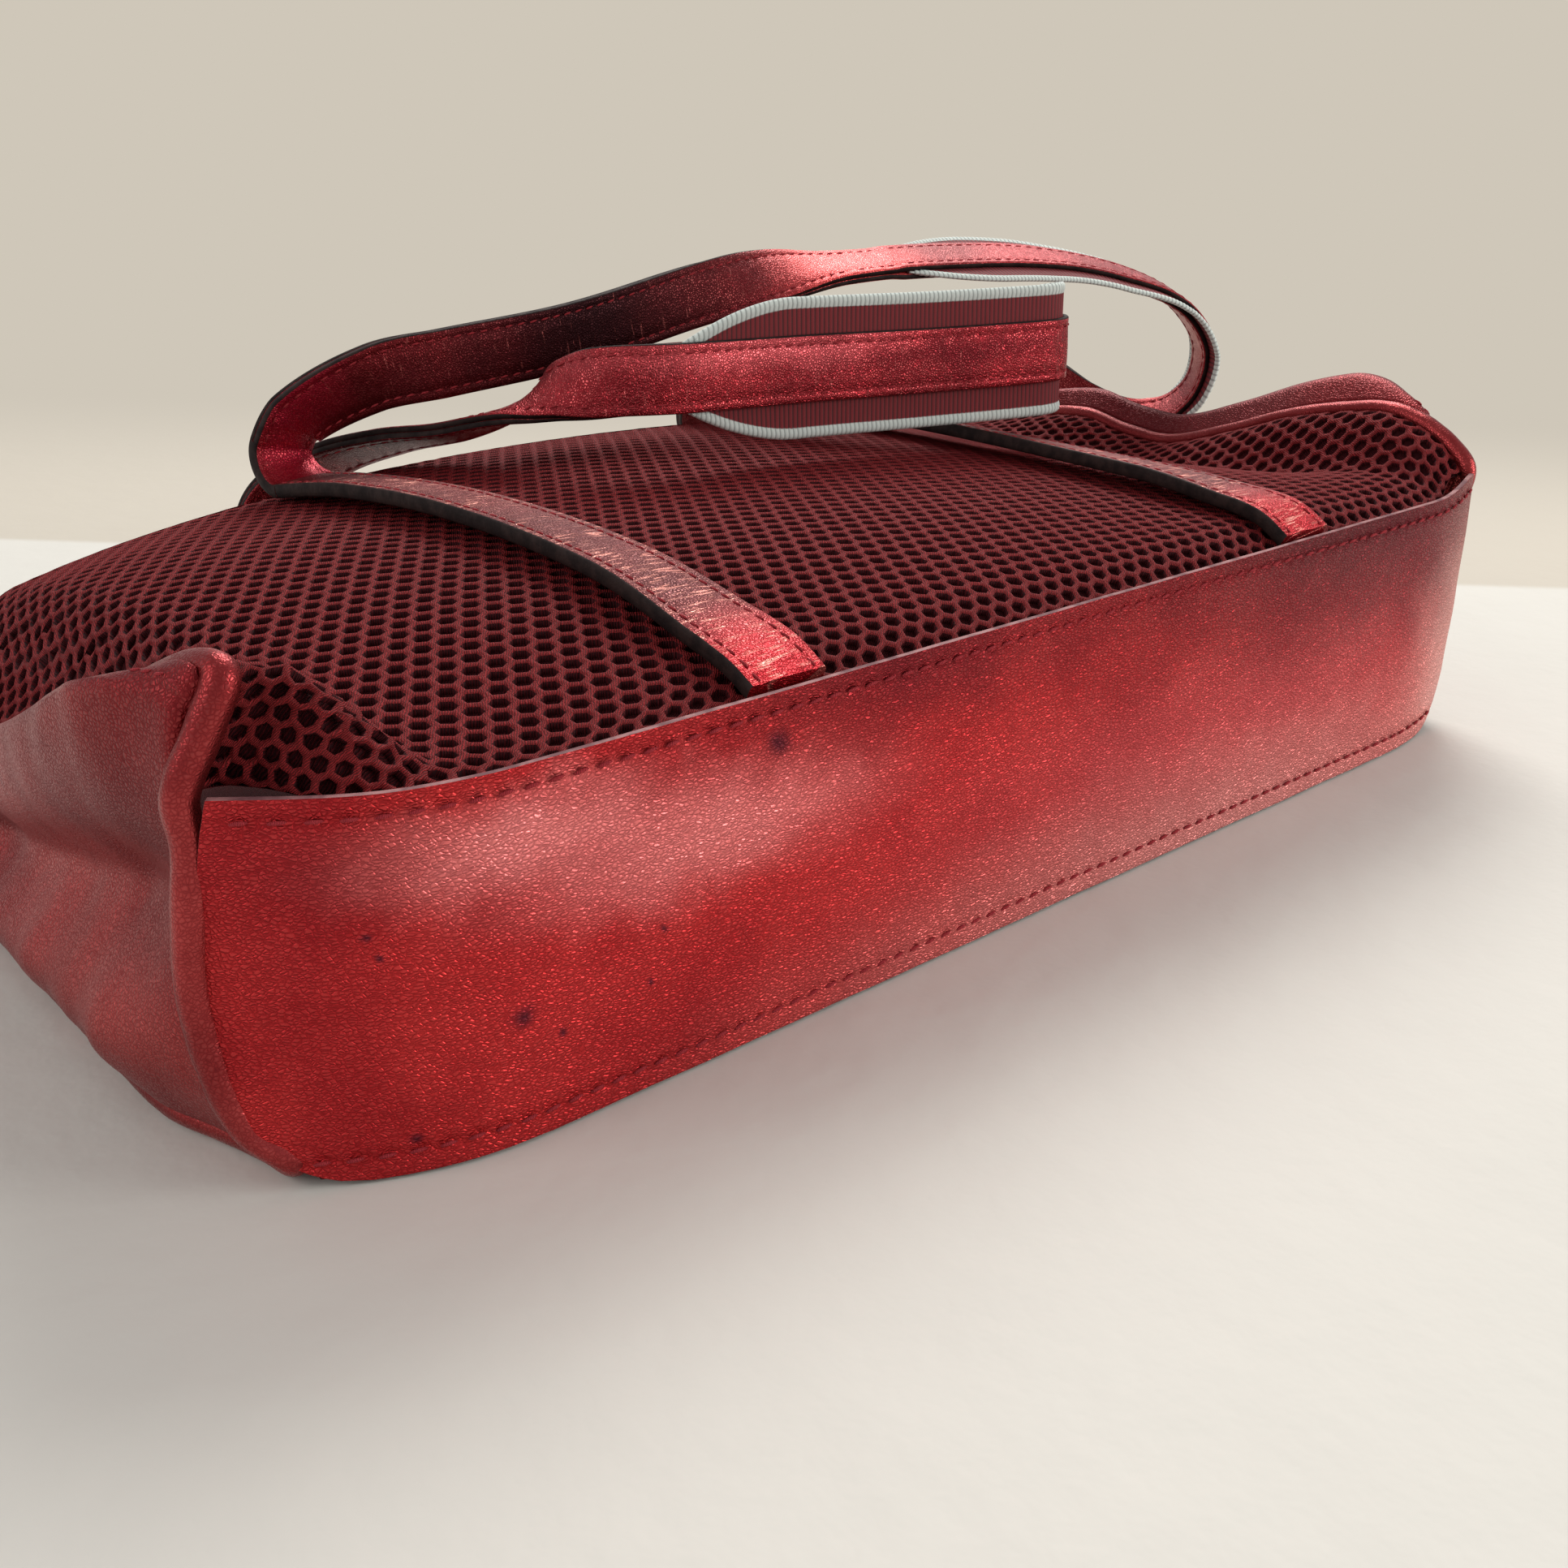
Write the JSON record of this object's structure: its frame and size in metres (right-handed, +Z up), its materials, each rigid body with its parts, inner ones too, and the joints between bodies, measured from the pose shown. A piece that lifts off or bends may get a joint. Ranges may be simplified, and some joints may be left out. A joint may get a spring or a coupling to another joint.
{
  "type": "handbag",
  "caption": "Small soft handbag of red metallic leather with mesh front and back, lying on its back, two handles threaded through each other.",
  "frame": {"origin": "middle of the back panel's outer face, on the surface the bag lies on", "axes": "+X along the base, to the right as seen facing the base; +Y from the base towards the open rim; +Z up, from the back panel to the front panel"},
  "size_m": [0.3734, 0.2137, 0.1078],
  "materials": {
    "metallic_leather": "metallic foil over fine grain, creased",
    "spacer_mesh": "matt open mesh",
    "grosgrain": "ribbed ribbon with pale edges",
    "lining_cloth": "matt woven cloth",
    "facing_leather": "satin",
    "base_board": "raw fibre board"
  },
  "bodies": {
    "bag_body": {"base_panel": "metallic_leather", "base_board": "base_board", "base_lining": "lining_cloth", "front_mesh_panel": "spacer_mesh", "front_facing": "facing_leather", "front_lining": "lining_cloth", "back_mesh_panel": "spacer_mesh", "back_facing": "facing_leather", "back_lining": "lining_cloth", "left_gusset": "metallic_leather", "left_gusset_lining": "lining_cloth", "left_piping": "metallic_leather", "right_gusset": "metallic_leather", "right_gusset_lining": "lining_cloth", "right_piping": "metallic_leather", "front_left_strap": "metallic_leather", "front_right_strap": "metallic_leather", "back_left_strap": "metallic_leather", "back_right_strap": "metallic_leather"},
    "front_handle": {"front_handle_outer_leather": "metallic_leather", "front_handle_inner_leather": "metallic_leather", "front_handle_ribbon": "grosgrain"},
    "back_handle": {"back_handle_outer_leather": "metallic_leather", "back_handle_inner_leather": "metallic_leather", "back_handle_ribbon": "grosgrain"}
  },
  "joints": [
    {"name": "front_handle_swing", "type": "hinge", "parent": "bag_body", "child": "front_handle", "pos_m": [0, 0.0892, 0.0616], "axis": [1, 0, 0], "range_deg": [-75, 0]},
    {"name": "back_handle_swing", "type": "hinge", "parent": "bag_body", "child": "back_handle", "pos_m": [0, 0.091, 0.00155], "axis": [1, 0, 0], "range_deg": [-25, 0]}
  ],
  "couplings": [
    {"joint": "back_handle_swing", "follows": "front_handle_swing", "ratio": 0.33333}
  ]
}
